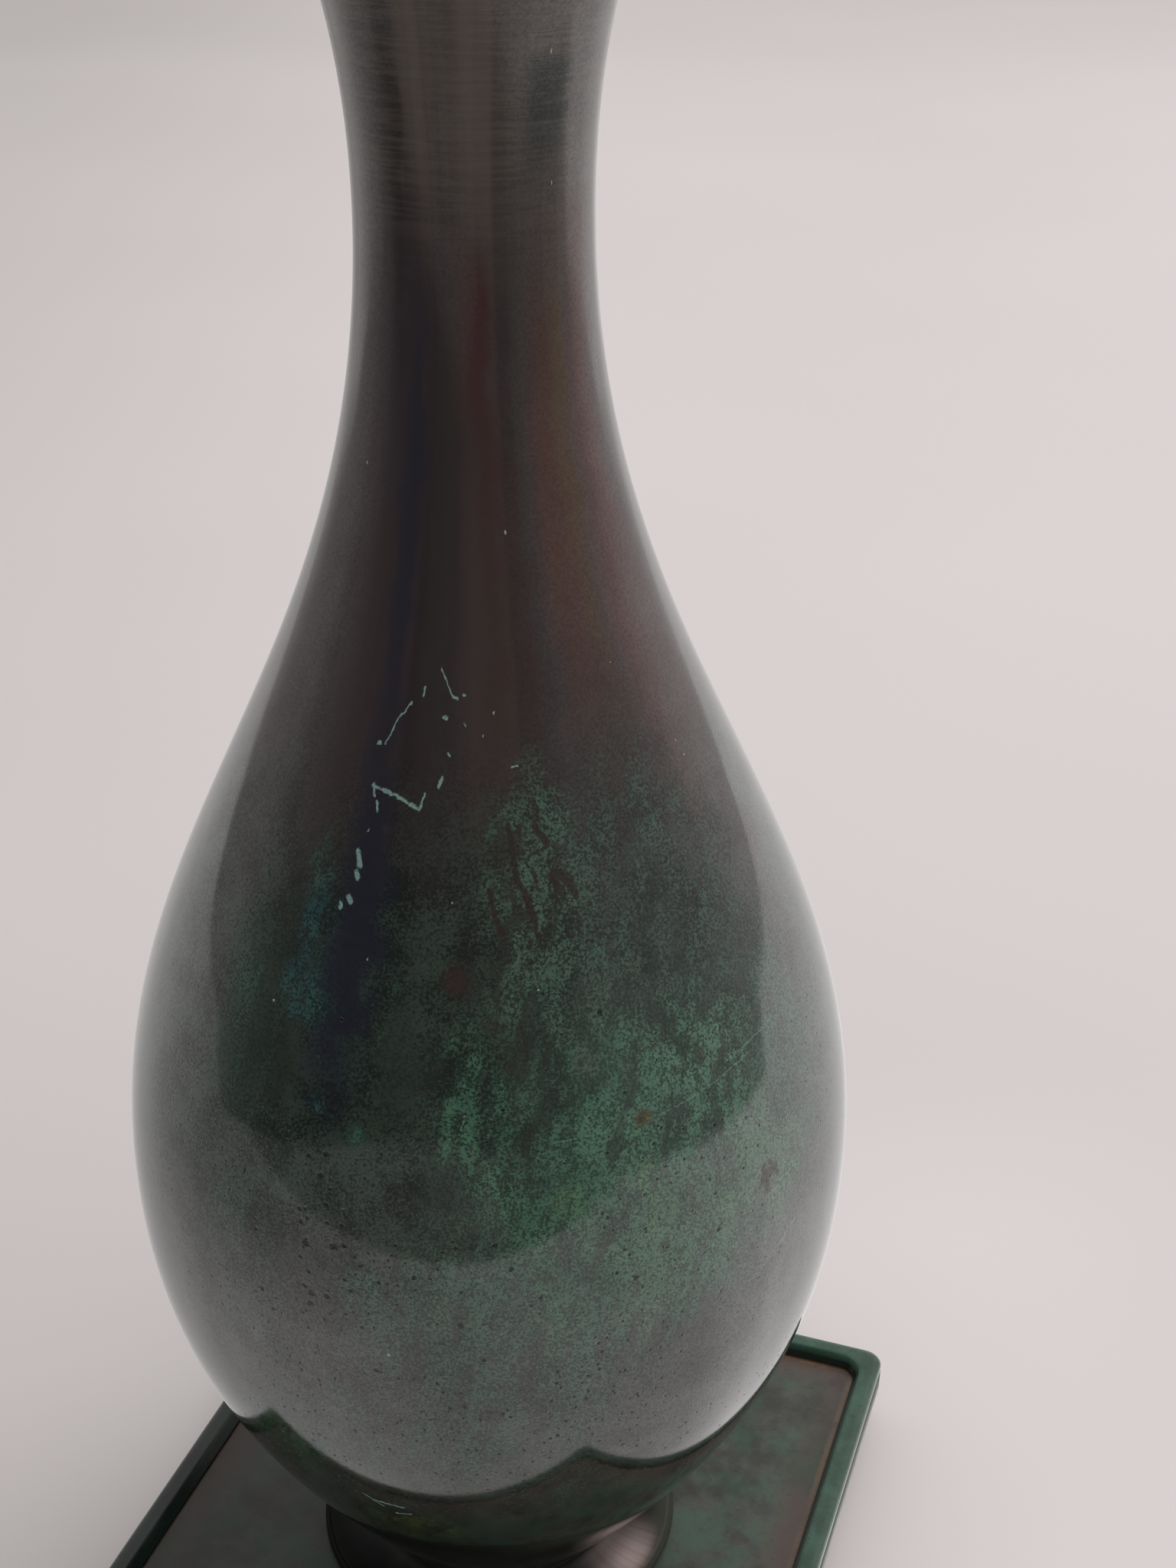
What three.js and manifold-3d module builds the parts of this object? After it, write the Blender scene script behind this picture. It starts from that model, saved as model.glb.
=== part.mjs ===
// Bronze bottle vase with a pear-shaped belly and a slender flared neck, bolted to a square drip tray.
// Millimetres, +Z up. The origin is on the table, under the middle of the tray.
// The tray's sides run along X and Y. From the table up: felt pads, tray, round foot, vase.

import * as THREE from 'three';
import { mergeVertices } from 'three/addons/utils/BufferGeometryUtils.js';
import Module from 'manifold-3d';

const wasm = await Module();
wasm.setup();

// Clearances
const seamGap = 0.2; // between faces that are brazed, glued or clamped on each other
const boreClearance = 0.3; // all round the stud in the holes that it passes through
const threadClearance = 0.15; // all round the stud in its threaded hole and in its nut

// Felt pads under the tray's corners
const padRadius = 5;
const padHeight = 5;
const padInset = 9.5; // from the tray's edge to a pad's centre
const padEdgeRound = 0.6;

// Square tray: a sheet bronze plate with a bar frame brazed along its edge
const traySide = 80;
const trayCornerRadius = 2.2;
const plateThickness = 3;
const rimRise = 1.7; // from the tray's floor to the top of the rim
const rimTopWidth = 2.3;
const rimSlope = 0.9; // how far the rim's inner face leans in at its foot
const rimInnerCornerRadius = 2;

// Round foot
const footFlangeRadius = 21.5;
const footEdgeHeight = 0.9;
const footHeight = 2.8;
const waistRadius = 14.6; // where the foot meets the vase

// Vase, outside
const bellyRadius = 39;
const bellyHeight = 60.3; // the widest level above the tray's floor
const bellyDrop = 23.8; // how far the belly stays upright below its widest level
const bellyRise = 36.1; // how far it stays upright above it
const undersideReach = 25; // length of the straightish run out of the waist
const undersideAngle = 53.5; // its angle above the level, in degrees
const neckRadius = 10.86;
const neckHeight = 99.2; // the narrowest level above the widest one
const neckRun = 43.6; // how far the neck stays upright below its narrowest level
const flareRun = 16; // how far it stays upright above it
const lipRadius = 19.2;
const lipHeight = 33.4; // the lip above the narrowest level
const lipSpread = 4.2; // how far the last stretch of the flare opens
const lipReach = 6.5; // how tall that stretch is

// Vase, inside
const wallThickness = 2.4;
const bottomBoreRadius = 12.4;

// Bottom plate of the vase, with the boss that holds the stud
const bottomPlateThickness = 3;
const bossRadius = 6;
const bossHeight = 6;
const studHoleDepth = 7.5;

// Stud, washers and nut
const studRadius = 2.5;
const studChamfer = 0.5;
const studEndGap = 0.4; // over the stud's end in its blind hole
const studTail = 0.5; // below the nut
const counterboreRadius = 7;
const counterboreDepth = 1.2;
const washerRadius = 5;
const washerThickness = 1;
const springWasherRadius = 4.6;
const springWasherThickness = 1.1;
const springWasherSlit = 0.8;
const nutAcrossFlats = 8;
const nutThickness = 2.7;
const nutChamfer = 0.5;

// How finely round shapes are drawn
const vaseSides = 52;
const footSides = 52;
const smallSides = 32;
const cornerSteps = 6;
const bellySteps = 9;
const neckSteps = 12;
const flareSteps = 7;
const lipSteps = 4;
const coveSteps = 6;

// Levels above the table
const plateBottom = padHeight + seamGap;
const trayFloor = plateBottom + plateThickness;
const rimTop = trayFloor + rimRise;
const footBottom = trayFloor + seamGap;
const footTop = footBottom + footHeight;
const vaseBottom = footTop + seamGap;
const bellyLevel = trayFloor + bellyHeight;
const neckLevel = bellyLevel + neckHeight;
const lipLevel = neckLevel + lipHeight;
const bottomPlateTop = vaseBottom + bottomPlateThickness;
const studHoleTop = vaseBottom + studHoleDepth;
const counterboreTop = plateBottom + counterboreDepth;
const washerTop = counterboreTop - seamGap;
const springWasherTop = washerTop - washerThickness - seamGap;
const nutTop = springWasherTop - springWasherThickness - seamGap;
const nutBottom = nutTop - nutThickness;
const studTop = studHoleTop - studEndGap;
const studBottom = nutBottom - studTail;

const point = (radius, height) => new THREE.Vector2(radius, height);

// A closed mesh with shared vertices and no triangle that has shrunk to a line.
function closedMesh(geometry) {
  const bare = geometry.clone();
  bare.deleteAttribute('normal');
  bare.deleteAttribute('uv');
  const merged = mergeVertices(bare, 1e-4);
  const corners = merged.index.array;
  const kept = [];
  for (let i = 0; i < corners.length; i += 3) {
    const [a, b, c] = [corners[i], corners[i + 1], corners[i + 2]];
    if (a !== b && b !== c && c !== a) {
      kept.push(a, b, c);
    }
  }
  merged.setIndex(kept);
  return merged;
}

function toSolid(geometry) {
  const mesh = closedMesh(geometry);
  const vertProperties = new Float32Array(mesh.attributes.position.array);
  const triVerts = new Uint32Array(mesh.index.array);
  return new wasm.Manifold(new wasm.Mesh({ numProp: 3, vertProperties, triVerts }));
}

function toGeometry(solid) {
  const mesh = solid.getMesh();
  const geometry = new THREE.BufferGeometry();
  geometry.setAttribute('position', new THREE.BufferAttribute(new Float32Array(mesh.vertProperties), 3));
  geometry.setIndex(new THREE.BufferAttribute(new Uint32Array(mesh.triVerts), 1));
  return geometry;
}

const cut = (geometry, tool) => toGeometry(toSolid(geometry).subtract(toSolid(tool)));
const common = (geometry, other) => toGeometry(toSolid(geometry).intersect(toSolid(other)));

// A round body turned about Z. The profile runs up the outside, from the axis or back to its start.
function turned(profile, sides) {
  return closedMesh(new THREE.LatheGeometry(profile, sides).rotateX(Math.PI / 2));
}

// A turned body with a straight hole through it.
function turnedRing(innerRadius, outerProfile, sides) {
  const low = outerProfile[0].y;
  const high = outerProfile[outerProfile.length - 1].y;
  const start = point(innerRadius, low);
  return turned([start, ...outerProfile, point(innerRadius, high), start.clone()], sides);
}

function cylinder(radius, low, high, sides) {
  return turned([point(0, low), point(radius, low), point(radius, high), point(0, high)], sides);
}

function roundedSquare(side, cornerRadius) {
  const half = side / 2;
  const straight = half - cornerRadius;
  const shape = new THREE.Shape();
  const corners = [[1, 1, 0], [-1, 1, 0.5], [-1, -1, 1], [1, -1, 1.5]];
  for (const [x, y, turn] of corners) {
    shape.absarc(x * straight, y * straight, cornerRadius, turn * Math.PI, (turn + 0.5) * Math.PI);
  }
  shape.closePath();
  return shape;
}

function prism(shape, low, high, steps) {
  const options = { depth: high - low, bevelEnabled: false, curveSegments: steps };
  return new THREE.ExtrudeGeometry(shape, options).translate(0, 0, low);
}

function circleHole(radius) {
  return new THREE.Path().absarc(0, 0, radius, 0, 2 * Math.PI, true);
}

// The vase's outside, from the waist up over the belly and the neck to the lip.
function outsideCurves() {
  const angle = THREE.MathUtils.degToRad(undersideAngle);
  const waist = point(waistRadius, vaseBottom);
  const belly = point(bellyRadius, bellyLevel);
  const neck = point(neckRadius, neckLevel);
  const lip = point(lipRadius, lipLevel);
  const underside = point(
    waistRadius + undersideReach * Math.cos(angle),
    vaseBottom + undersideReach * Math.sin(angle),
  );
  const lower = new THREE.CubicBezierCurve(waist, underside, point(bellyRadius, bellyLevel - bellyDrop), belly);
  const upper = new THREE.CubicBezierCurve(
    belly,
    point(bellyRadius, bellyLevel + bellyRise),
    point(neckRadius, neckLevel - neckRun),
    neck,
  );
  const flare = new THREE.CubicBezierCurve(
    neck,
    point(neckRadius, neckLevel + flareRun),
    point(lipRadius - lipSpread, lipLevel - lipReach),
    lip,
  );
  return [[lower, bellySteps], [upper, neckSteps], [flare, flareSteps]];
}

// Points along the outside, each with the wall's thickness set off square to the curve.
function wallPoints() {
  const outside = [];
  const inside = [];
  for (const [curve, steps] of outsideCurves()) {
    const first = outside.length === 0 ? 0 : 1;
    for (let step = first; step <= steps; step += 1) {
      const onCurve = curve.getPointAt(step / steps);
      const along = curve.getTangentAt(step / steps);
      outside.push(onCurve);
      inside.push(point(onCurve.x - along.y * wallThickness, onCurve.y + along.x * wallThickness));
    }
  }
  return { outside, inside };
}

function vaseShell() {
  const { outside, inside } = wallPoints();
  const lip = outside[outside.length - 1];
  const lipInside = inside[inside.length - 1];
  const lipMiddle = lip.clone().add(lipInside).multiplyScalar(0.5);
  const fromMiddle = lip.clone().sub(lipMiddle);
  const roundLip = [];
  for (let step = 1; step < lipSteps; step += 1) {
    const turn = (step / lipSteps) * Math.PI;
    roundLip.push(fromMiddle.clone().rotateAround(point(0, 0), turn).add(lipMiddle));
  }
  const innerWall = inside.filter((p) => p.y > bottomPlateTop + seamGap).reverse();
  const seat = [point(bottomBoreRadius, bottomPlateTop), point(bottomBoreRadius, vaseBottom)];
  return turned([...outside, ...roundLip, ...innerWall, ...seat, outside[0].clone()], vaseSides);
}

function bottomPlate() {
  const radius = bottomBoreRadius - seamGap;
  const holeRadius = studRadius + threadClearance;
  const bossTop = vaseBottom + bottomPlateThickness + bossHeight;
  return turned([
    point(0, studHoleTop),
    point(holeRadius, studHoleTop),
    point(holeRadius, vaseBottom),
    point(radius, vaseBottom),
    point(radius, bottomPlateTop),
    point(bossRadius, bottomPlateTop),
    point(bossRadius, bossTop),
    point(0, bossTop),
  ], smallSides);
}

// A low disc whose top sweeps in and up to the vase's waist.
function roundFoot() {
  const edgeTop = footBottom + footEdgeHeight;
  const cove = new THREE.QuadraticBezierCurve(
    point(footFlangeRadius, edgeTop),
    point(waistRadius, edgeTop),
    point(waistRadius, footTop),
  );
  const outside = [point(footFlangeRadius, footBottom), ...cove.getPoints(coveSteps)];
  return turnedRing(studRadius + boreClearance, outside, footSides);
}

function trayPlate() {
  const outline = roundedSquare(traySide, trayCornerRadius);
  outline.holes.push(circleHole(studRadius + boreClearance));
  const plate = prism(outline, plateBottom, trayFloor, cornerSteps);
  return cut(plate, cylinder(counterboreRadius, plateBottom - 1, counterboreTop, smallSides));
}

// The bar frame round the tray. Its inner face leans in towards the floor.
function trayRim() {
  const rimFoot = trayFloor + seamGap;
  const outline = roundedSquare(traySide, trayCornerRadius);
  const frame = prism(outline, rimFoot, rimTop, cornerSteps);
  const footSide = traySide - 2 * (rimTopWidth + rimSlope);
  const rise = rimTop - rimFoot;
  const well = new THREE.ExtrudeGeometry(roundedSquare(footSide, rimInnerCornerRadius), {
    depth: rise,
    bevelThickness: rise,
    bevelSize: rimSlope,
    bevelSegments: 1,
    curveSegments: cornerSteps,
  }).translate(0, 0, rimTop);
  const way = prism(roundedSquare(footSide, rimInnerCornerRadius), rimFoot - 1, rimFoot + rise / 2, cornerSteps);
  return cut(cut(frame, well), way);
}

function feltPad() {
  const low = padEdgeRound;
  const high = padHeight - padEdgeRound;
  return turned([
    point(0, 0),
    point(padRadius - padEdgeRound, 0),
    point(padRadius, low),
    point(padRadius, high),
    point(padRadius - padEdgeRound, padHeight),
    point(0, padHeight),
  ], smallSides);
}

function fixingStud() {
  return turned([
    point(0, studBottom),
    point(studRadius - studChamfer, studBottom),
    point(studRadius, studBottom + studChamfer),
    point(studRadius, studTop - studChamfer),
    point(studRadius - studChamfer, studTop),
    point(0, studTop),
  ], smallSides);
}

function plainWasher() {
  const low = washerTop - washerThickness;
  return turnedRing(studRadius + boreClearance, [point(washerRadius, low), point(washerRadius, washerTop)], smallSides);
}

function springWasher() {
  const low = springWasherTop - springWasherThickness;
  const outside = [point(springWasherRadius, low), point(springWasherRadius, springWasherTop)];
  const ring = turnedRing(studRadius + boreClearance, outside, smallSides);
  const slit = new THREE.BoxGeometry(2 * springWasherRadius, springWasherSlit, 4 * springWasherThickness);
  slit.translate(springWasherRadius, 0, springWasherTop);
  return cut(ring, slit);
}

function hexNut() {
  const cornerRadius = nutAcrossFlats / Math.sqrt(3);
  const hexagon = new THREE.Shape();
  for (let corner = 0; corner < 6; corner += 1) {
    const turn = (corner / 6) * 2 * Math.PI;
    const x = cornerRadius * Math.cos(turn);
    const y = cornerRadius * Math.sin(turn);
    if (corner === 0) {
      hexagon.moveTo(x, y);
    } else {
      hexagon.lineTo(x, y);
    }
  }
  hexagon.closePath();
  hexagon.holes.push(circleHole(studRadius + threadClearance));
  const faceRadius = nutAcrossFlats / 2;
  const chamferRise = (cornerRadius - faceRadius) * nutChamfer;
  const chamfered = turned([
    point(0, nutBottom),
    point(faceRadius, nutBottom),
    point(cornerRadius, nutBottom + chamferRise),
    point(cornerRadius, nutTop - chamferRise),
    point(faceRadius, nutTop),
    point(0, nutTop),
  ], smallSides);
  return common(prism(hexagon, nutBottom, nutTop, smallSides / 2), chamfered);
}

const patina = (color, roughness) => new THREE.MeshStandardMaterial({ color, roughness, metalness: 0.35 });
const brassMetal = () => new THREE.MeshStandardMaterial({ color: 0xa98a4e, roughness: 0.4, metalness: 1 });
const zincSteel = () => new THREE.MeshStandardMaterial({ color: 0x9a9c9e, roughness: 0.4, metalness: 1 });
const feltMaterial = () => new THREE.MeshStandardMaterial({ color: 0x2b2d2c, roughness: 1, metalness: 0 });

const vase = new THREE.Group();

function add(name, geometry, material) {
  const mesh = new THREE.Mesh(geometry, material);
  mesh.name = name;
  vase.add(mesh);
  return mesh;
}

add('vase_shell', vaseShell(), patina(0x44524b, 0.25));
add('bottom_plate', bottomPlate(), patina(0x5a4a38, 0.5));
add('round_foot', roundFoot(), patina(0x3a3234, 0.3));
add('fixing_stud', fixingStud(), brassMetal());
add('tray_plate', trayPlate(), patina(0x47504a, 0.35));
add('tray_rim', trayRim(), patina(0x33443d, 0.3));
add('plain_washer', plainWasher(), brassMetal());
add('spring_washer', springWasher(), zincSteel());
add('hex_nut', hexNut(), brassMetal());

const padPlaces = [['front_left', -1, -1], ['front_right', 1, -1], ['back_left', -1, 1], ['back_right', 1, 1]];
const padOffset = traySide / 2 - padInset;
for (const [place, x, y] of padPlaces) {
  add(`felt_pad_${place}`, feltPad(), feltMaterial()).position.set(x * padOffset, y * padOffset, 0);
}

export default vase;
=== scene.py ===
# Looks of a bronze bottle vase on its square tray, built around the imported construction.
# Metres, +Z up. Sizes written in millimetres are named so. Angles round the vase are in degrees,
# 0 at the side that faces the camera and growing to the camera's right.
import math

import bpy
from mathutils import Matrix, Vector, noise


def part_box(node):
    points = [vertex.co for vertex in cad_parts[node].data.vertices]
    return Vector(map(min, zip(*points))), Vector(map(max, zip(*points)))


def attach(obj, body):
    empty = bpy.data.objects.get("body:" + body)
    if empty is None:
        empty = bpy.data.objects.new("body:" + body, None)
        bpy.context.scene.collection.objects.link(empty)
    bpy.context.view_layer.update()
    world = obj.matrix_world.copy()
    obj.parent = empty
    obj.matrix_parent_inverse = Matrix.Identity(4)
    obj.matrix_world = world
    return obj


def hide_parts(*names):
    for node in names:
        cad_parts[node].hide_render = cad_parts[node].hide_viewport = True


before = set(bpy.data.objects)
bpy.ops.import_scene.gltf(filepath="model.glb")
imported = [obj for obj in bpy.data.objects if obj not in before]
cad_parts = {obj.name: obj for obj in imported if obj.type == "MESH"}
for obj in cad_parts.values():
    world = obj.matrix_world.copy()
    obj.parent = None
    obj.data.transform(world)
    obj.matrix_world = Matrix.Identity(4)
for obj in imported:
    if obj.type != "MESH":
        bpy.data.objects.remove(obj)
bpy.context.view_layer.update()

MM = 0.001
BODY = "root"
FRONT_TURN = math.radians(21.87)  # from the camera's left-right line to the tray's sides


# Camera

PHOTO_LONG_SIDE = 2048  # pixels
FOCAL_LENGTH = 2744.1  # pixels
SENSOR = 36  # millimetres, along the long side
CAMERA_BACK = 0.1899  # from the vase's axis
CAMERA_HEIGHT = 0.2090
LOOK_DOWN = math.radians(27.76)
LOOK_RIGHT = math.radians(3.153)
CAMERA_ROLL = math.radians(0.306)


def add_camera():
    data = bpy.data.cameras.new("camera")
    data.sensor_width = SENSOR
    data.lens = FOCAL_LENGTH / PHOTO_LONG_SIDE * SENSOR
    data.clip_start = 0.005
    camera = bpy.data.objects.new("camera", data)
    bpy.context.collection.objects.link(camera)
    to_scene = Matrix.Rotation(FRONT_TURN, 4, "Z")
    place = Matrix.Translation((0, -CAMERA_BACK, CAMERA_HEIGHT))
    pan = Matrix.Rotation(-LOOK_RIGHT, 4, "Z")
    tilt = Matrix.Rotation(math.pi / 2 - LOOK_DOWN, 4, "X")
    roll = Matrix.Rotation(CAMERA_ROLL, 4, "Z")
    camera.matrix_world = to_scene @ place @ pan @ tilt @ roll
    bpy.context.scene.camera = camera


# Sizes of the construction, from its boxes

VASE_LOW, VASE_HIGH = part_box("vase_shell")
FOOT_LOW, FOOT_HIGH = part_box("round_foot")
PLATE_LOW, PLATE_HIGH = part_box("tray_plate")
RIM_LOW, RIM_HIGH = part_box("tray_rim")
PAD_NAMES = ("front_left", "front_right", "back_left", "back_right")

# Sizes that a box doesn't show, in millimetres as the construction has them

WAIST_RADIUS = 14.6 * MM
BELLY_RADIUS = VASE_HIGH.x
BELLY_LEVEL = PLATE_HIGH.z + 60.3 * MM
BELLY_DROP = 23.8 * MM
BELLY_RISE = 36.1 * MM
UNDERSIDE_REACH = 25 * MM
UNDERSIDE_ANGLE = math.radians(53.5)
NECK_RADIUS = 10.86 * MM
NECK_LEVEL = BELLY_LEVEL + 99.2 * MM
NECK_RUN = 43.6 * MM
FLARE_RUN = 16 * MM
LIP_RADIUS = 19.2 * MM
LIP_LEVEL = NECK_LEVEL + 33.4 * MM
LIP_SPREAD = 4.2 * MM
LIP_REACH = 6.5 * MM
WALL = 2.4 * MM
BORE_RADIUS = 12.4 * MM
INNER_FLOOR = VASE_LOW.z + 3 * MM
SEAM_GAP = 0.2 * MM
STUD_HOLE_RADIUS = 2.8 * MM
FOOT_EDGE = 0.9 * MM
COUNTERBORE_RADIUS = 7 * MM
COUNTERBORE_DEPTH = 1.2 * MM
TRAY_CORNER = 2.2 * MM
RIM_TOP_WIDTH = 2.3 * MM
RIM_SLOPE = 0.9 * MM
RIM_INNER_CORNER = 2 * MM


# Mesh helpers

def smooth_bezier(p0, p1, p2, p3, steps):
    """Points and directions along a cubic curve of (radius, height) pairs."""
    corners = [Vector(p) for p in (p0, p1, p2, p3)]
    made = []
    for step in range(steps + 1):
        t = step / steps
        s = 1 - t
        shares = (s**3, 3 * s * s * t, 3 * s * t * t, t**3)
        point = sum((c * share for c, share in zip(corners, shares)), Vector((0, 0)))
        slopes = (3 * s * s, 6 * s * t, 3 * t * t)
        legs = [corners[i + 1] - corners[i] for i in range(3)]
        along = sum((leg * slope for leg, slope in zip(legs, slopes)), Vector((0, 0)))
        made.append((point, along.normalized()))
    return made


def rounded_outline(corners, closed=True, steps=5):
    """Points of an outline of (across, height, rounding) corners, with each corner drawn as an arc."""
    places = [Vector(c[:2]) for c in corners]
    count = len(corners)
    made = []
    for i, (here, corner) in enumerate(zip(places, corners)):
        radius = corner[2]
        if radius == 0 or (not closed and i in (0, count - 1)):
            made.append(here)
            continue
        back = (places[i - 1] - here).normalized()
        ahead = (places[(i + 1) % count] - here).normalized()
        half = math.acos(max(-1, min(1, back.dot(ahead)))) / 2
        reach = radius / math.tan(half)
        middle = here + (back + ahead).normalized() * (radius / math.sin(half))
        start = here + back * reach - middle
        end = here + ahead * reach - middle
        hold = min(radius * 0.25, 0.1 * MM)
        made.append(middle + start + back * hold)
        turn = start.angle_signed(end)
        for step in range(steps + 1):
            spin = Matrix.Rotation(-turn * step / steps, 2)
            made.append(middle + spin @ start)
        made.append(middle + end + ahead * hold)
    return made


def add_piece(name, vertices, faces, materials, replaced=(), indices=None):
    mesh = bpy.data.meshes.new(name)
    mesh.from_pydata([tuple(v) for v in vertices], [], faces)
    for material in materials:
        mesh.materials.append(material)
    if indices:
        mesh.polygons.foreach_set("material_index", indices)
    mesh.shade_smooth()
    mesh.update()
    piece = bpy.data.objects.new(name, mesh)
    bpy.context.collection.objects.link(piece)
    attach(piece, BODY)
    if replaced:
        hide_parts(*replaced)
    return piece


def revolved(outline, sides, centre=(0, 0)):
    """Vertices and faces of a body turned about Z. Its outline closes on itself or ends on the axis."""
    on_axis = [p[0] < 1e-9 for p in outline]
    closed = not (on_axis[0] and on_axis[-1])
    vertices = []
    rings = []
    for (radius, height), single in zip(outline, on_axis):
        if single:
            rings.append([len(vertices)] * sides)
            vertices.append((centre[0], centre[1], height))
            continue
        rings.append([len(vertices) + i for i in range(sides)])
        for i in range(sides):
            turn = 2 * math.pi * i / sides
            x = centre[0] + radius * math.cos(turn)
            y = centre[1] + radius * math.sin(turn)
            vertices.append((x, y, height))
    faces = []
    spans = len(rings) if closed else len(rings) - 1
    for span in range(spans):
        low = rings[span]
        high = rings[(span + 1) % len(rings)]
        for i in range(sides):
            j = (i + 1) % sides
            corners = [low[i], low[j], high[j], high[i]]
            kept = [c for k, c in enumerate(corners) if c != corners[k - 1]]
            faces.append(kept)
    return vertices, faces


def square_loop(half, corner, height, steps=8, side_steps=24):
    """A rounded square of 4 * (steps + side_steps) points, anticlockwise from the +X side's start."""
    made = []
    straight = half - corner
    for quarter in range(4):
        middle = Vector((straight, straight))
        spin = Matrix.Rotation(quarter * math.pi / 2, 2)
        for step in range(steps):
            turn = math.pi / 2 * step / steps
            arc = Vector((math.cos(turn), math.sin(turn))) * corner
            made.append(spin @ (middle + arc))
        for step in range(side_steps):
            share = step / side_steps
            run = Vector((straight - 2 * straight * share, half))
            made.append(spin @ run)
    return [Vector((p.x, p.y, height)) for p in made]


def round_loop(radius, height, like):
    """A circle whose points lie towards the points of another loop."""
    return [Vector((p.x, p.y, 0)).normalized() * radius + Vector((0, 0, height)) for p in like]


def lofted(loops):
    """Vertices and faces of a body whose loops follow each other round a closed cross-section."""
    count = len(loops[0])
    vertices = [p for loop in loops for p in loop]
    faces = []
    for span in range(len(loops)):
        low = span * count
        high = (span + 1) % len(loops) * count
        for i in range(count):
            j = (i + 1) % count
            faces.append([low + i, low + j, high + j, high + i])
    return vertices, faces


def hand_finished(vertices, depth, size):
    """The vertices drawn in a little, unevenly, as a surface is that was filed and rubbed by hand."""
    made = []
    for v in vertices:
        place = Vector(v)
        share = 0.5 + 0.5 * noise.noise(place / size)
        level = Vector((place.x, place.y, 0))
        if level.length > 0:
            place -= level.normalized() * depth * share
        made.append(place)
    return made


# Node helper

def tone(red, green, blue):
    """The colour that a picture shows as these three values of 0 to 255."""
    made = []
    for value in (red, green, blue):
        share = value / 255
        made.append(share / 12.92 if share <= 0.04045 else ((share + 0.055) / 1.055) ** 2.4)
    return (*made, 1)


class Graph:
    """One node tree, with short calls that add a node and join it."""

    def __init__(self, tree):
        self.tree = tree
        tree.nodes.clear()

    def feed(self, socket, value):
        if isinstance(value, bpy.types.NodeSocket):
            self.tree.links.new(value, socket)
        else:
            socket.default_value = value

    def node(self, kind, inputs=None, **settings):
        made = self.tree.nodes.new("ShaderNode" + kind)
        for key, value in settings.items():
            setattr(made, key, value)
        for place, value in (inputs or {}).items():
            self.feed(made.inputs[place], value)
        return made

    def math(self, operation, *values, clamp=False):
        inputs = dict(enumerate(values))
        return self.node("Math", inputs, operation=operation, use_clamp=clamp).outputs[0]

    def chain(self, operation, values):
        """The operation on the first two values, then on its result and the next, and so on."""
        total = values[0]
        for value in values[1:]:
            total = self.math(operation, total, value)
        return total

    def times(self, *values):
        return self.chain("MULTIPLY", values)

    def plus(self, *values):
        return self.chain("ADD", values)

    def minus(self, first, second):
        return self.math("SUBTRACT", first, second)

    def most(self, *values):
        return self.chain("MAXIMUM", values)

    def swing(self, noise_value, reach):
        """A noise of 0 to 1 turned into an offset to either side."""
        return self.times(self.minus(noise_value, 0.5), reach)

    def turn(self, x, y):
        """Angle in radians round Z, 0 at the camera's side and growing to its right."""
        return self.math("ARCTAN2", x, self.times(y, -1))

    def vector(self, operation, first, second=(0, 0, 0)):
        made = self.node("VectorMath", {0: first, 1: second}, operation=operation)
        single = operation in ("LENGTH", "DISTANCE", "DOT_PRODUCT")
        return made.outputs["Value" if single else "Vector"]

    def step(self, value, low, high, out_low=0.0, out_high=1.0):
        """out_low below low and out_high above high, smooth between."""
        inputs = {"Value": value, "From Min": low, "From Max": high}
        inputs.update({"To Min": out_low, "To Max": out_high})
        return self.node("MapRange", inputs, interpolation_type="SMOOTHSTEP").outputs[0]

    def noise(self, vector, size, detail=2.0, roughness=0.5, distortion=0.0):
        """Soft noise with spots about size across, in the vector's unit."""
        inputs = {"Vector": vector, "Scale": 1 / size, "Detail": detail, "Roughness": roughness}
        inputs["Distortion"] = distortion
        return self.node("TexNoise", inputs).outputs["Fac"]

    def mix(self, share, first, second, blend="MIX"):
        made = self.node("Mix", {0: share, 6: first, 7: second}, data_type="RGBA", blend_type=blend)
        return made.outputs[2]

    def cover(self, under, over, *shares):
        """A colour with another laid over it, as thick as the product of the shares."""
        return self.mix(self.times(*shares), under, over)

    def clouds(self, value, low, high, first, second):
        """The first colour where the value is low, the second where it is high."""
        return self.mix(self.step(value, low, high), first, second)

    def ramp(self, value, stops):
        """A colour for each value, from (value, colour) stops."""
        made = self.node("ValToRGB", {0: value})
        elements = made.color_ramp.elements
        elements[0].position, elements[0].color = stops[0]
        elements[1].position, elements[1].color = stops[-1]
        for place, colour in stops[1:-1]:
            elements.new(place).color = colour
        return made.outputs[0]

    def parts(self, vector):
        return self.node("SeparateXYZ", {0: vector}).outputs

    def joined(self, x, y, z):
        return self.node("CombineXYZ", {0: x, 1: y, 2: z}).outputs[0]

    def turned(self, vector, angle, axis="Z_AXIS"):
        inputs = {"Vector": vector, "Angle": angle}
        return self.node("VectorRotate", inputs, rotation_type=axis).outputs[0]

    def bump(self, height, distance):
        return self.node("Bump", {"Height": height, "Distance": distance, "Strength": 1.0}).outputs[0]


def surface(name):
    """The graph of a new material."""
    material = bpy.data.materials.new(name)
    material.use_nodes = True
    graph = Graph(material.node_tree)
    graph.material = material
    return graph


def finished(graph, colour, roughness, relief, depth, **others):
    """The graph's material, with a shader of this colour, roughness and relief."""
    inputs = {"Base Color": colour, "Roughness": roughness, "Normal": graph.bump(relief, depth)}
    inputs.update((name.replace("_", " "), value) for name, value in others.items())
    shader = graph.node("BsdfPrincipled", inputs)
    graph.node("OutputMaterial", {"Surface": shader.outputs[0]})
    return graph.material


def object_place(graph):
    """Place on the object in millimetres, turned so that -Y faces the camera's side."""
    place = graph.node("TexCoord").outputs["Object"]
    scaled = graph.vector("SCALE", place)
    scaled.node.inputs["Scale"].default_value = 1 / MM
    return graph.turned(scaled, -FRONT_TURN)


# Patina of the vase

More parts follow.
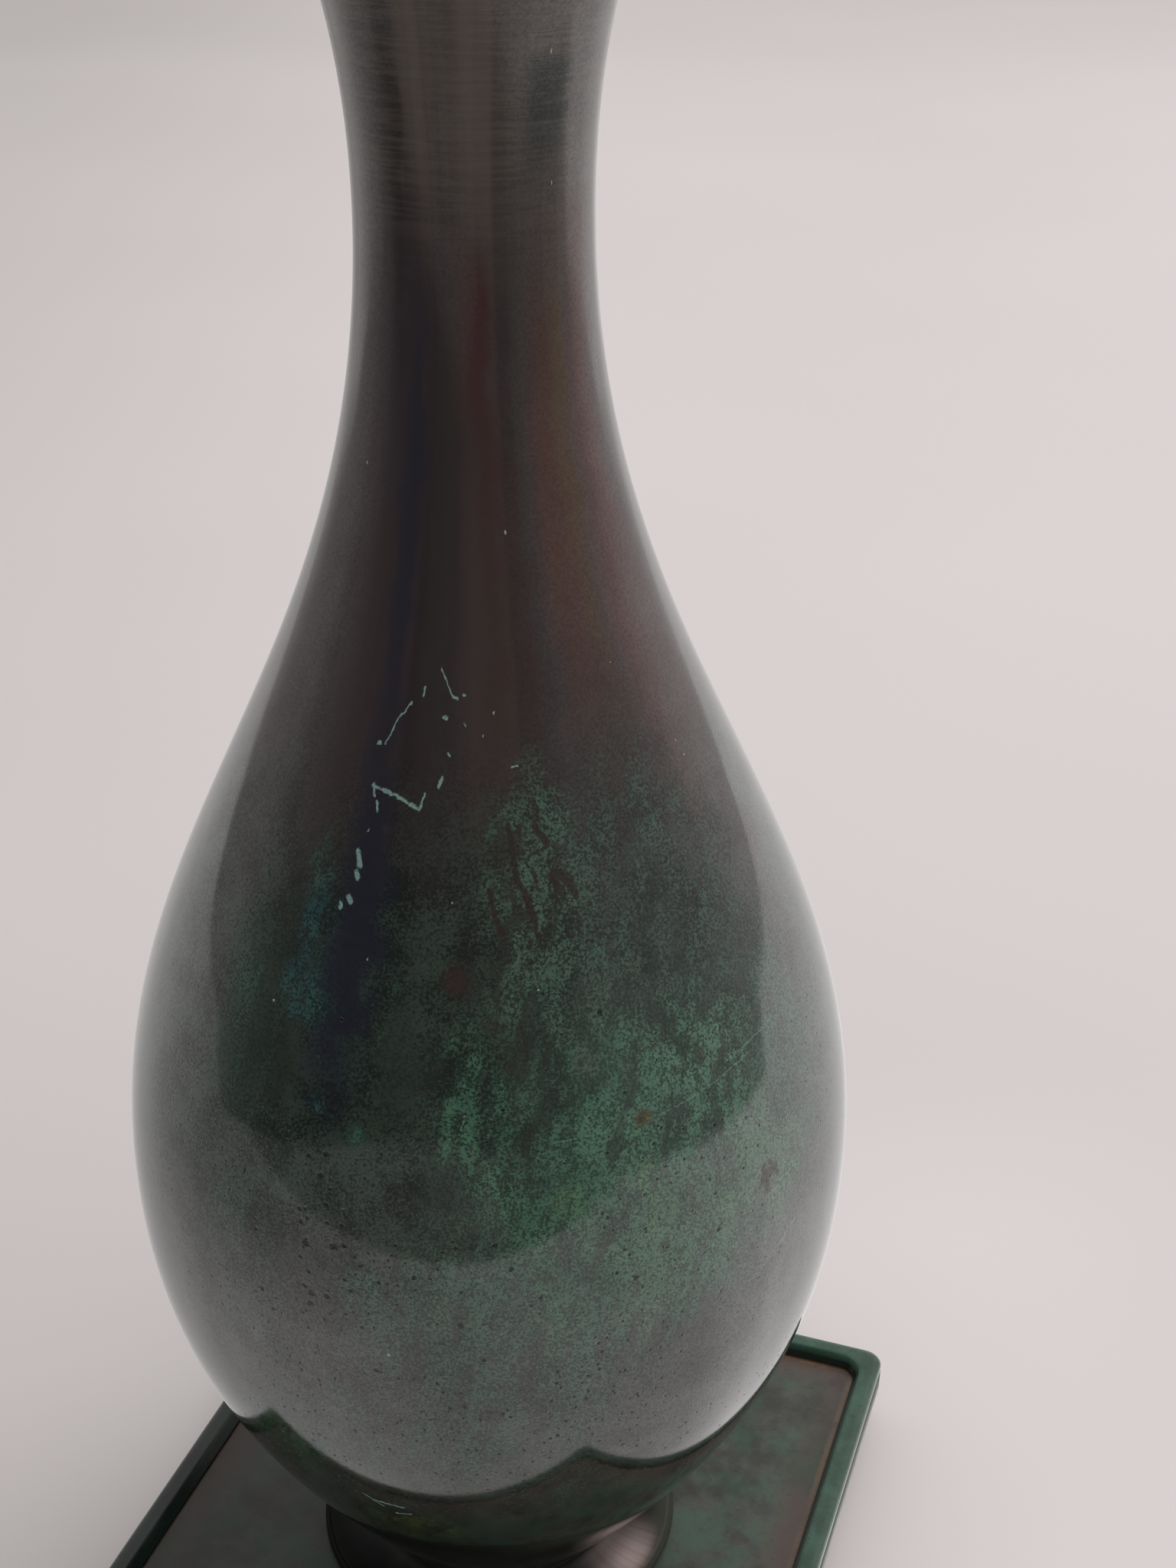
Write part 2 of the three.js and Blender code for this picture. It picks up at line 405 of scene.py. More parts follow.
PATINA_IOR = 2.2
TRAY_IOR = 1.5
FINE_DEPTH = 0.01 * MM  # of the relief on polished metal
GRAIN_DEPTH = 0.02 * MM
UNROLLED = 0.62  # millimetres round the belly for one degree
# Levels in millimetres. Between two of them the patina is one material, with only the marks that lie there.
PATINA_LEVELS = (0, 58, 72, 84, 98, 112, 134, 240)
WAVE = 4  # millimetres by which large patches have wavy edges
RAGGED = 0.28  # millimetres by which small marks have ragged edges
# Soft stains: angle, height, half width in degrees, half height in millimetres, colour, strength
STAINS = (
    (-56, 150, 13, 60, (50, 42, 43), 0.75),
    (-33, 158, 16, 22, (44, 39, 43), 0.8),
    (-14, 142, 8, 44, (45, 42, 41), 0.6),
    (-2, 157, 12, 18, (54, 41, 38), 0.8),
    (0, 157.5, 7, 9, (60, 30, 33), 0.75),
    (4, 146, 6, 12, (58, 34, 33), 0.75),
    (3, 134, 5, 16, (54, 41, 37), 0.7),
    (12, 136, 6, 22, (50, 34, 32), 0.75),
    (18, 156, 5, 22, (48, 42, 39), 0.7),
    (30, 144, 12, 26, (70, 38, 25), 0.75),
    (38, 154, 7, 18, (68, 50, 27), 0.8),
    (38, 138, 5, 18, (66, 44, 22), 0.7),
    (52, 142, 12, 32, (76, 42, 38), 0.75),
    (56, 164, 9, 12, (72, 48, 42), 0.7),
    (-26, 140, 7, 26, (36, 37, 46), 0.85),
    (-26, 108, 7, 22, (32, 33, 44), 0.9),
    (-40, 126, 9, 26, (52, 45, 46), 0.7),
    (-34, 95, 5, 7, (30, 34, 31), 0.7),
    (-15, 97, 6, 8, (42, 52, 44), 0.5),
    (26, 92, 30, 16, (40, 56, 47), 0.75),
    (22, 76, 30, 11, (44, 57, 49), 0.7),
    (-4, 72, 16, 13, (36, 46, 40), 0.6),
    (-26, 74, 10, 9, (36, 34, 28), 0.6),
    (4, 99, 4, 14, (42, 40, 35), 0.6),
    (17, 86.5, 6, 4, (28, 44, 36), 0.75),
    (-6, 86.5, 6, 4, (26, 32, 34), 0.6),
    (37, 95, 4, 2.5, (60, 64, 38), 0.45),
    (-26, 65, 10, 8, (40, 33, 32), 0.7),
    (26, 64, 18, 8, (40, 38, 35), 0.7),
    (-16.5, 61, 1.2, 5, (60, 36, 32), 0.5),
    (-38, 60, 5, 7, (58, 58, 46), 0.6),
    (34, 108, 5, 14, (32, 42, 36), 0.6),
    (48, 104, 7, 12, (46, 48, 44), 0.6),
    (-4, 104.6, 5, 2.6, (38, 33, 32), 0.6),
    (-6, 104.8, 3.2, 1.8, (54, 37, 34), 0.6),
    (4, 107, 5, 14, (40, 40, 36), 0.5),
    (-46, 180, 14, 22, (40, 37, 36), 0.85),
    (-36, 176, 5, 26, (36, 31, 30), 0.8),
    (58, 182, 14, 16, (47, 43, 42), 0.8),
    (62, 128, 16, 17, (66, 47, 45), 0.7),
    (64, 109, 11, 16, (58, 46, 44), 0.6),
    (10, 34, 120, 12, (24, 28, 23), 0.8),
    (-42, 98, 7, 16, (30, 44, 34), 0.6),
    (10, 100, 3, 12, (30, 34, 30), 0.5),
    (31, 104, 3.5, 14, (28, 40, 34), 0.5),
)
# Green fields: angle, height, half width, half height, cover, darker and brighter tone
FIELDS = (
    (12, 109, 18, 18, 0.85, (38, 49, 41), (73, 98, 83)),
    (36, 108, 28, 19, 0.6, (36, 45, 39), (66, 82, 71)),
    (-3, 94, 8, 10, 0.9, (32, 58, 45), (70, 110, 86)),
    (30, 87, 40, 18, 0.95, (45, 68, 57), (86, 124, 102)),
    (18, 92, 14, 9, 0.6, (42, 72, 57), (84, 120, 98)),
    (18, 76, 34, 12, 1, (43, 68, 54), (76, 113, 90)),
    (6, 67, 26, 14, 0.8, (40, 56, 47), (66, 94, 77)),
    (-4, 74, 14, 12, 0.85, (36, 52, 43), (62, 88, 72)),
    (-18, 72, 9, 9, 0.8, (36, 50, 44), (56, 80, 69)),
    (-10, 58, 34, 17, 0.6, (42, 51, 46), (60, 76, 68)),
    (-40, 74, 12, 14, 0.6, (42, 50, 44), (58, 70, 62)),
    (-36, 112.5, 5.5, 4, 0.9, (34, 52, 47), (56, 82, 74)),
    (-33, 107.5, 6, 4, 0.9, (22, 46, 46), (38, 70, 70)),
    (-33.5, 102.5, 6.5, 5, 0.9, (22, 46, 46), (38, 68, 70)),
    (-46, 98, 6, 12, 0.7, (26, 42, 34), (38, 62, 50)),
    (-20, 99, 6, 10, 0.6, (34, 44, 41), (48, 64, 57)),
    (-28, 92.3, 2.4, 1.2, 0.75, (24, 46, 50), (38, 66, 68)),
    (-21, 90.4, 2, 1.3, 0.85, (34, 58, 51), (50, 84, 75)),
    (10.6, 84.7, 4, 3, 0.8, (54, 80, 60), (84, 118, 86)),
    (24, 83, 4.5, 5, 0.8, (54, 82, 60), (86, 120, 84)),
    (44, 82, 14, 9, 1, (48, 76, 60), (74, 108, 87)),
    (56, 92, 14, 16, 0.8, (46, 62, 54), (64, 86, 75)),
    (-36, 50, 12, 8, 0.8, (30, 50, 34), (50, 70, 44)),
    (-17, 38, 16, 6, 0.7, (40, 48, 24), (66, 70, 34)),
    (38, 79, 6, 3, 0.7, (58, 84, 64), (86, 118, 90)),
    (23.4, 90.9, 2.2, 0.9, 1, (66, 58, 36), (84, 74, 42)),
    (14.8, 96.9, 2.4, 2.2, 0.8, (64, 66, 60), (92, 92, 86)),
)
# Strokes: angle and height where each starts and ends, half width in millimetres
SCRATCHES = (
    (-26.3, 119.9, -20.5, 119.4, 0.2), (-20.5, 119.4, -14.9, 118.5, 0.23),
    (-14.9, 118.5, -13.9, 119.9, 0.2), (-26.5, 120.0, -26.0, 119.2, 0.3),
    (-25.0, 118.6, -24.7, 118.0, 0.26), (-10.9, 120.6, -10.1, 121.2, 0.28),
    (-27.2, 123.5, -26.6, 123.5, 0.25), (-25.2, 123.5, -22.6, 125.8, 0.14),
    (-22.6, 125.8, -19.3, 127.3, 0.13), (-16.4, 127.9, -15.9, 128.7, 0.2),
    (-11.8, 130.3, -8.2, 128.0, 0.12), (-8.2, 128.0, -7.0, 127.9, 0.16),
    (-5.6, 128.2, -5.0, 128.2, 0.16), (-5.2, 125.9, -4.8, 125.7, 0.15),
    (6.2, 122.2, 7.6, 122.2, 0.1), (-10.6, 126.3, -9.6, 126.2, 0.2),
    (-9.0, 123.4, -8.4, 123.1, 0.18), (-27.5, 114.3, -26.6, 113.2, 0.4),
    (-27.2, 112.6, -26.5, 112.2, 0.34), (-27.8, 110.4, -27.2, 110.1, 0.36),
    (-29.4, 109.8, -29.1, 109.5, 0.28), (-26.1, 116.2, -25.9, 116.3, 0.15),
    (-22, 42.6, -17, 42.3, 0.2), (-24, 43.6, -21, 41.6, 0.14),
    (-19, 40.4, -16, 40.9, 0.16),
)
HAIRLINES = (
    (-4.2, 93.2, -4.6, 91.9, 0.1), (9, 90.3, 17, 90.5, 0.08),
    (24, 90.6, 33, 91.2, 0.07), (33, 91.2, 45, 92.5, 0.09),
    (40, 92.9, 53, 93.9, 0.09), (41, 68.7, 52, 72.4, 0.07),
)
GREEN_STREAKS = (
    (-3.6, 91.4, -0.6, 88.2, 0.4), (-0.6, 88.2, 0.3, 86.0, 0.34),
    (0.3, 86.0, 1.6, 83.4, 0.4), (1.6, 83.4, 3.4, 81.3, 0.28),
    (6.2, 76.2, 7.2, 74.6, 0.42), (7.7, 73.9, 9.3, 71.3, 0.5),
)
FLECKS = (
    (4.6, 117.4, 5.4, 115.4, 0.45), (5.2, 115.2, 6.1, 112.4, 0.6),
    (7.0, 112.0, 8.6, 109.6, 0.65), (8.6, 109.8, 8.9, 108.2, 0.4),
    (10.4, 117.2, 12.8, 115.6, 0.6), (12.6, 112.9, 14.2, 111.7, 0.6),
    (15.2, 112.9, 17.3, 111.2, 0.7), (9.1, 113.6, 9.6, 112.7, 0.35),
    (0.4, 112.0, 1.2, 110.2, 0.45), (1.5, 109.8, 2.5, 108.6, 0.5),
    (43.6, 79.3, 46.4, 79.9, 0.75), (44.4, 78.0, 44.0, 80.7, 0.5),
    (45.4, 80.8, 47.0, 79.0, 0.4),
)
# Dots: angle, height, radius in millimetres
PITS = (
    (-39.2, 83.6, 0.36), (-28.9, 82.0, 0.34), (-28.8, 80.7, 0.32), (-27.8, 82.1, 0.24),
    (-27.6, 81.2, 0.28), (-24.6, 83.1, 0.34), (-24.3, 81.3, 0.26), (-24.2, 84.8, 0.3),
    (-21.9, 82.9, 0.24), (-22.1, 81.5, 0.24), (-27.8, 78.6, 0.48), (-28.5, 77.0, 0.3),
    (-23.3, 79.1, 0.5), (-21.6, 79.4, 0.34), (-27.2, 75.6, 0.4), (-27.8, 73.8, 0.36),
    (-26.7, 73.2, 0.48), (-27.0, 71.9, 0.4), (-24.3, 73.3, 0.4), (-36.4, 78.0, 0.32),
    (-35.3, 71.4, 0.32), (-33.4, 69.5, 0.38), (-19.1, 77.7, 0.36), (-16.5, 76.2, 0.34),
    (-21.5, 75.8, 0.3), (-20.6, 74.6, 0.34), (-11.5, 77.2, 0.32), (-5.0, 72.2, 0.36),
    (-17.2, 65.5, 0.3), (-25.2, 88.0, 0.32), (-25.8, 85.9, 0.36), (-28.0, 87.4, 0.3),
    (20.0, 75.2, 0.38), (34.0, 77.0, 0.34), (-2.0, 68.0, 0.3), (21.0, 74.0, 0.26),
    (30.0, 73.6, 0.3), (2.2, 78.4, 0.32), (0.0, 80.9, 0.3), (18.5, 101.0, 0.4),
)
# Where pits crowd: angle, height, half width in degrees, half height in millimetres
CROWDS = ((20, 61, 20, 14),)
DUST = (
    (2.5, 126.7, 0.19), (53.0, 120.5, 0.16), (54.2, 119.0, 0.12), (-0.4, 124.8, 0.12), (38.5, 129.2, 0.13),
    (8.3, 103.7, 0.12), (47.5, 97.4, 0.13), (-22.2, 105.7, 0.14), (-7.0, 111.1, 0.11), (-15.3, 67.7, 0.24),
    (-39.0, 99.9, 0.18), (33.0, 182.0, 0.3), (8.8, 141.8, 0.3), (-49.5, 146.5, 0.22), (37.5, 171.1, 0.2),
)
MARK_COLOUR = tone(122, 160, 152)
HAIRLINE_COLOUR = tone(104, 140, 118)
STREAK_COLOUR = tone(70, 118, 84)
FLECK_COLOUR = tone(45, 35, 33)
PIT_COLOUR = tone(16, 16, 14)
DUST_COLOUR = tone(158, 150, 138)


class VasePlace:
    """Where a point of the vase lies, with the noises that several layers of its patina share."""

    def __init__(self, graph, low, high):
        self.graph = graph
        self.low = low
        self.high = high
        self.place = object_place(graph)
        x, y, self.height = graph.parts(self.place)
        self.angle = graph.times(graph.turn(x, y), 180 / math.pi)
        self.level = graph.vector("NORMALIZE", graph.joined(x, y, 0))
        self.flat = graph.joined(graph.times(self.angle, UNROLLED), self.height, 0)
        self.ragged = self.shaken(self.flat, 0.45, RAGGED)
        self.wavy = self.shaken(self.flat, 5, WAVE)
        self.cloud = graph.noise(self.place, 16, 3, 0.6)
        self.small_cloud = graph.noise(self.place, 5, 4, 0.65)
        self.fine = graph.noise(self.place, 0.26, 3, 0.7)
        slanted = graph.turned(self.place, math.radians(-14), "Y_AXIS")
        self.drawn_out = graph.vector("MULTIPLY", slanted, (1, 1, 0.25))

    def shaken(self, vector, size, reach):
        """The vector moved about by soft noise with spots about size across."""
        graph = self.graph
        made = graph.node("TexNoise", {"Vector": self.place, "Scale": 1 / size, "Detail": 2})
        moved = graph.vector("SUBTRACT", made.outputs["Color"], (0.5, 0.5, 0.5))
        scaled = graph.vector("MULTIPLY", moved, (reach * 2, reach * 2, 0))
        return graph.vector("ADD", vector, scaled)

    def meridian(self, along):
        """Coordinates whose noise runs up and down the vase. It changes slowly where along is large."""
        graph = self.graph
        round_part = graph.vector("MULTIPLY", self.level, (20, 20, 0))
        up_part = graph.joined(0, 0, graph.math("DIVIDE", self.height, along))
        return graph.vector("ADD", round_part, up_part)

    def holds(self, low, high, margin):
        """Whether something between two heights can show in this material's range."""
        return low - margin < self.high and high + margin > self.low

    def patch(self, angle, height, half_angle, half_height):
        """1 in the middle of an oval patch with a wavy edge, falling to 0 outside."""
        large = half_height > 4
        margin = WAVE + half_height * 0.1 if large else 1
        if not self.holds(height - half_height, height + half_height, margin):
            return None
        graph = self.graph
        centre = (angle * UNROLLED, height, 0)
        off = graph.vector("SUBTRACT", self.wavy if large else self.ragged, centre)
        share = graph.vector("MULTIPLY", off, (1 / half_angle / UNROLLED, 1 / half_height, 0))
        return graph.step(graph.vector("LENGTH", share), 1.1, 0.25)

    def dot(self, angle, height, radius):
        """1 in a dot with a ragged edge."""
        if not self.holds(height, height, radius + 1):
            return None
        away = self.graph.vector("DISTANCE", self.ragged, (angle * UNROLLED, height, 0))
        return self.graph.step(away, radius, radius * 0.4)

    def stroke(self, angle_1, height_1, angle_2, height_2, half_width):
        """1 in a straight stroke with ragged edges."""
        if not self.holds(min(height_1, height_2), max(height_1, height_2), half_width + 1):
            return None
        graph = self.graph
        line = Vector(((angle_2 - angle_1) * UNROLLED, height_2 - height_1, 0))
        from_start = graph.vector("SUBTRACT", self.ragged, (angle_1 * UNROLLED, height_1, 0))
        along = graph.vector("DOT_PRODUCT", from_start, line / line.length_squared)
        share = graph.math("ADD", along, 0, clamp=True)
        nearest = graph.vector("MULTIPLY", graph.joined(share, share, 0), line)
        away = graph.vector("DISTANCE", from_start, nearest)
        return graph.step(away, half_width, half_width * 0.4)

    def marks(self, draw, listed):
        """1 in any of the listed marks."""
        total = 0
        for values in listed:
            mask = draw(*values)
            if mask is not None:
                total = self.graph.most(mask, total)
        return total


def ground_colour(graph, at):
    """Brown-black above, grey-green on the belly, greyer below it and on the neck."""
    runs = graph.noise(at.meridian(40), 4.2, 3, 0.55)
    brown = graph.clouds(runs, 0.38, 0.62, tone(43, 35, 35), tone(57, 46, 45))
    mottle = graph.plus(at.small_cloud, graph.swing(at.fine, 1.6))
    green = graph.clouds(mottle, 0.32, 0.68, tone(22, 27, 24), tone(49, 62, 54))
    level = graph.plus(at.height, graph.swing(at.cloud, 24))
    colour = graph.clouds(level, 128, 106, brown, green)
    low = graph.clouds(mottle, 0.32, 0.68, tone(29, 29, 26), tone(52, 56, 50))
    brown_patches = graph.step(graph.noise(at.drawn_out, 4, 3, 0.6), 0.5, 0.66, 0.0, 0.5)
    low = graph.mix(brown_patches, low, tone(48, 40, 38))
    colour = graph.clouds(level, 86, 66, colour, low)
    neck = graph.clouds(runs, 0.35, 0.65, tone(61, 54, 50), tone(79, 71, 66))
    return graph.clouds(level, 152, 184, colour, neck)


def with_stains(graph, at, colour):
    for angle, height, half_angle, half_height, stain, strength in STAINS:
        mask = at.patch(angle, height, half_angle, half_height)
        if mask is not None:
            colour = graph.cover(colour, tone(*stain), mask, strength)
    return colour


def with_fields(graph, at, colour):
    """Green fields: a soft haze with small bright grains, thicker in the middle, and dark gaps."""
    drawn = graph.noise(at.drawn_out, 1.3, 4, 0.7)
    middle = graph.noise(at.place, 0.5, 2, 0.6)
    grain = graph.plus(graph.times(at.fine, 0.6), graph.times(middle, 0.2), graph.times(drawn, 0.2))
    gaps = graph.step(graph.noise(at.place, 0.42, 3, 0.7), 0.52, 0.66)
    uneven = graph.step(graph.noise(at.drawn_out, 2.4, 4, 0.7), 0.38, 0.6, 0.2, 1.0)
    hue = graph.step(graph.noise(at.place, 6, 3), 0.4, 0.62, 0.0, 0.5)
    total = 0
    for angle, height, half_angle, half_height, cover, darker, brighter in FIELDS:
        mask = at.patch(angle, height, half_angle, half_height)
        if mask is None:
            continue
        haze = graph.times(mask, uneven, cover * 0.85)
        colour = graph.mix(haze, colour, tone(*darker))
        grain_colour = graph.mix(hue, tone(*brighter), tone(58, 96, 84))
        ranked = graph.plus(grain, graph.times(haze, 0.06))
        share = graph.times(graph.step(ranked, 0.482, 0.58), graph.step(haze, 0.0, 0.6))
        colour = graph.cover(colour, grain_colour, share, 0.9)
        total = graph.most(total, haze)
    dark = graph.times(gaps, graph.times(total, 0.7))
    return graph.mix(dark, colour, tone(20, 30, 26)), total


def pepper(graph, at):
    """Fine dark pits, some scattered and some crowded."""
    cells = graph.node("TexVoronoi", {"Vector": at.place, "Scale": 1 / 0.8})
    rank, size, _ = graph.parts(cells.outputs["Color"])
    scattered = graph.step(graph.noise(at.place, 9, 2), 0.4, 0.62)
    crowd = graph.most(at.marks(at.patch, CROWDS), scattered)
    kept = graph.math("GREATER_THAN", graph.times(crowd, graph.step(at.height, 104, 84)), rank)
    reach = graph.plus(graph.times(size, 0.16), 0.12)
    near = graph.minus(reach, cells.outputs["Distance"])
    return graph.times(graph.step(near, 0, 0.08), kept)


def dark_window(graph, at):
    """A smoky patch on the neck with a square outline and combed sides."""
    combed = graph.noise(graph.vector("MULTIPLY", at.place, (0.06, 0.06, 1)), 0.4, 3, 0.65)
    angle = graph.plus(at.angle, graph.swing(combed, 14))
    across = graph.times(graph.step(angle, 18, 27), graph.step(angle, 47, 42))
    up = graph.times(graph.step(at.height, 168, 179), graph.step(at.height, 182.4, 181.4))
    return graph.times(across, up), combed


def vase_colour(graph, at, combed, window):
    """The ground with all that lies on it, and how much of it is grains, flecks, pits and worn metal."""
    colour = with_stains(graph, at, ground_colour(graph, at))
    lines = graph.times(graph.step(combed, 0.4, 0.6), graph.step(at.height, 160, 176))
    colour = graph.cover(colour, tone(88, 80, 72), lines, 0.3)
    colour = graph.cover(colour, tone(25, 33, 30), window, graph.step(combed, 0.7, 0.5, 0.4, 0.75))
    colour, speckles = with_fields(graph, at, colour)
    flecks = at.marks(at.stroke, FLECKS)
    colour = graph.cover(colour, FLECK_COLOUR, flecks, 0.85)
    pits = graph.most(at.marks(at.dot, PITS), pepper(graph, at))
    colour = graph.cover(colour, PIT_COLOUR, pits, 0.75)
    streaks = graph.times(at.marks(at.stroke, GREEN_STREAKS), graph.step(at.fine, 0.44, 0.54))
    colour = graph.cover(colour, STREAK_COLOUR, streaks, 0.45)
    hairlines = graph.times(at.marks(at.stroke, HAIRLINES), graph.step(at.fine, 0.36, 0.5))
    colour = graph.cover(colour, HAIRLINE_COLOUR, hairlines, 0.6)
    broken = graph.step(at.fine, 0.32, 0.5, 0.35, 1.0)
    scratches = graph.times(at.marks(at.stroke, SCRATCHES), broken)
    colour = graph.cover(colour, MARK_COLOUR, scratches, 0.8)
    dust = at.marks(at.dot, DUST)
    colour = graph.mix(dust, colour, DUST_COLOUR)
    return colour, speckles, flecks, pits, graph.most(dust, scratches)


def vase_patina(low, high):
    """The patina between two levels in millimetres."""
    graph = surface("vase_patina_%d" % low)
    at = VasePlace(graph, low, high)
    window, combed = dark_window(graph, at)
    colour, speckles, flecks, pits, worn = vase_colour(graph, at, combed, window)
    polish = graph.times(combed, graph.step(at.height, 160, 180))

    gloss = graph.step(graph.noise(at.place, 7, 3, 0.6), 0.3, 0.7, 0.05, 0.09)
    gloss = graph.plus(gloss, graph.times(speckles, 0.06), graph.times(worn, 0.3))
    gloss = graph.plus(gloss, graph.step(at.height, 128, 166, 0.0, 0.07), graph.times(polish, 0.14))

    relief = graph.plus(graph.times(at.fine, 0.15), graph.times(at.small_cloud, 0.4))
    relief = graph.minus(graph.plus(relief, graph.times(polish, 1.2)), graph.times(pits, 3))

    shine = graph.times(
        graph.step(at.fine, 0.3, 0.7, 0.32, 0.62),
        graph.step(at.height, 134, 170, 1.0, 0.68),
        graph.step(at.small_cloud, 0.3, 0.7, 0.88, 1.12),
    )
    dull = graph.math("ADD", graph.times(pits, 0.45), graph.times(flecks, 0.25), clamp=True)
    dull = graph.math("ADD", dull, graph.times(speckles, 0.2), clamp=True)
    shine = graph.times(shine, graph.minus(1, dull))

    return finished(graph, colour, gloss, relief, FINE_DEPTH, IOR=PATINA_IOR, Specular_IOR_Level=shine)


def inner_bronze():
    graph = surface("inner_bronze")
    place = object_place(graph)
    cloud = graph.noise(place, 9, 4, 0.6)
    stops = ((0.3, tone(46, 38, 31)), (0.55, tone(72, 58, 44)), (0.75, tone(70, 84, 70)))
    colour = graph.ramp(cloud, stops)
    relief = graph.noise(place, 0.8, 4, 0.6)
    roughness = graph.step(cloud, 0.3, 0.7, 0.45, 0.7)
    return finished(graph, colour, roughness, relief, 0.0001, Metallic=0.4)


# The side on which the foot carries a painted highlight
FOOT_PAINTED_HIGHLIGHT = (0.82, -0.57, 0)


def foot_patina_and_painted_light():
    """Near black as painted shade under the belly, with a painted highlight on one side, and its edge and
    the edge's side painted lighter on the lit right and darker on the left.
    """
    graph = surface("foot_patina_and_painted_light")
    place = object_place(graph)
    x, y, height = graph.parts(place)
    cloud = graph.noise(place, 6, 4, 0.6)
    # Near black: painted shade under the belly.
    stops = ((0.35, tone(16, 15, 15)), (0.6, tone(26, 24, 23)), (0.75, tone(24, 30, 26)))
    colour = graph.ramp(cloud, stops)
    level = graph.vector("NORMALIZE", graph.joined(x, y, 0))
    streaks = graph.noise(graph.vector("MULTIPLY", level, (20, 20, 0)), 0.9, 3, 0.6)
    facing = graph.vector("DISTANCE", level, Vector(FOOT_PAINTED_HIGHLIGHT).normalized())
    away = graph.vector("LENGTH", graph.joined(x, y, 0))
    # A painted highlight: a bright patch on the cove towards the lit side.
    painted_highlight = graph.times(
        graph.step(facing, 0.45, 0.0),
        graph.step(height, 11.2, 9.8),
        graph.step(away, 21.6, 19.4),
        graph.step(away, 15.5, 19, 0.3, 1.0),
        graph.step(streaks, 0.3, 0.7, 0.75, 1.0),
    )
    colour = graph.mix(painted_highlight, colour, tone(192, 172, 166))
    # The edge colour, painted light on the right and painted shade on the left.
    worn = graph.clouds(x, -6, 14, tone(20, 22, 20), tone(74, 75, 68))
    edge = graph.step(away, 17.5, 20.8)
    colour = graph.cover(colour, worn, edge, graph.step(painted_highlight, 0.6, 0.0, 0.2, 0.9))
    # The flange's side, painted light on the right and painted shade on the left.
    below = graph.clouds(x, -6, 14, tone(18, 20, 18), tone(58, 60, 54))
    colour = graph.clouds(away, 21.0, 21.3, colour, below)
    roughness = graph.step(streaks, 0.3, 0.7, 0.36, 0.48)
    shine = graph.step(away, 15, 20.5, 0.3, 0.08)
    return finished(graph, colour, roughness, streaks, FINE_DEPTH, Specular_IOR_Level=shine)


def tray_place(graph):
    """Place in millimetres, how far from the middle on the square, and the camera's right and back."""
    place = graph.vector("MULTIPLY", graph.node("TexCoord").outputs["Object"], (1 / MM, 1 / MM, 1 / MM))
    x, y, _ = graph.parts(graph.vector("ABSOLUTE", place))
    right, back, _ = graph.parts(graph.turned(place, -FRONT_TURN))
    return place, graph.most(x, y), right, back


def tray_floor_patina_and_painted_shade():
    """Grey-brown with green clouds, rubbed pinkish brown near the rim, with an ochre line along it, and
    painted shade over the left side.
    """
    graph = surface("tray_floor_patina_and_painted_shade")
    place, reach, right, _ = tray_place(graph)
    cloud = graph.noise(place, 13, 4, 0.6)
    small = graph.noise(place, 5, 5, 0.65)
    fine = graph.noise(place, 0.7, 3, 0.65)
    colour = graph.clouds(cloud, 0.4, 0.58, tone(52, 46, 45), tone(80, 78, 72))
    dark_patches = graph.step(graph.noise(place, 8, 3, 0.6), 0.5, 0.64, 0.0, 0.7)
    colour = graph.mix(dark_patches, colour, tone(50, 46, 46))
    tint = graph.clouds(cloud, 0.42, 0.56, tone(50, 80, 64), tone(72, 98, 84))
    colour = graph.mix(graph.step(small, 0.38, 0.65, 0.12, 0.88), colour, tint)
    wobble = graph.plus(reach, graph.swing(small, 6))
    # Painted shade: the left side of the floor is multiplied darker.
    shade = graph.step(right, 10, -26)
    rubbed = graph.times(graph.step(wobble, 31, 35.5), graph.step(cloud, 0.35, 0.55, 0.35, 0.9))
    colour = graph.mix(rubbed, colour, tone(88, 72, 66))
    line = graph.times(graph.step(reach, 35.9, 36.4), graph.step(small, 0.36, 0.56, 0.3, 0.9))
    colour = graph.cover(colour, tone(110, 90, 68), line, graph.step(shade, 0, 1, 1.0, 0.2))
    colour = graph.mix(shade, colour, tone(165, 160, 158), "MULTIPLY")
    colour = graph.clouds(reach, 38.5, 37.5, tone(76, 84, 77), colour)
    colour = graph.mix(graph.step(fine, 0.56, 0.72, 0.0, 0.4), colour, tone(34, 36, 34))
    return finished(graph, colour, graph.step(small, 0.3, 0.7, 0.24, 0.36), fine, GRAIN_DEPTH, IOR=TRAY_IOR)


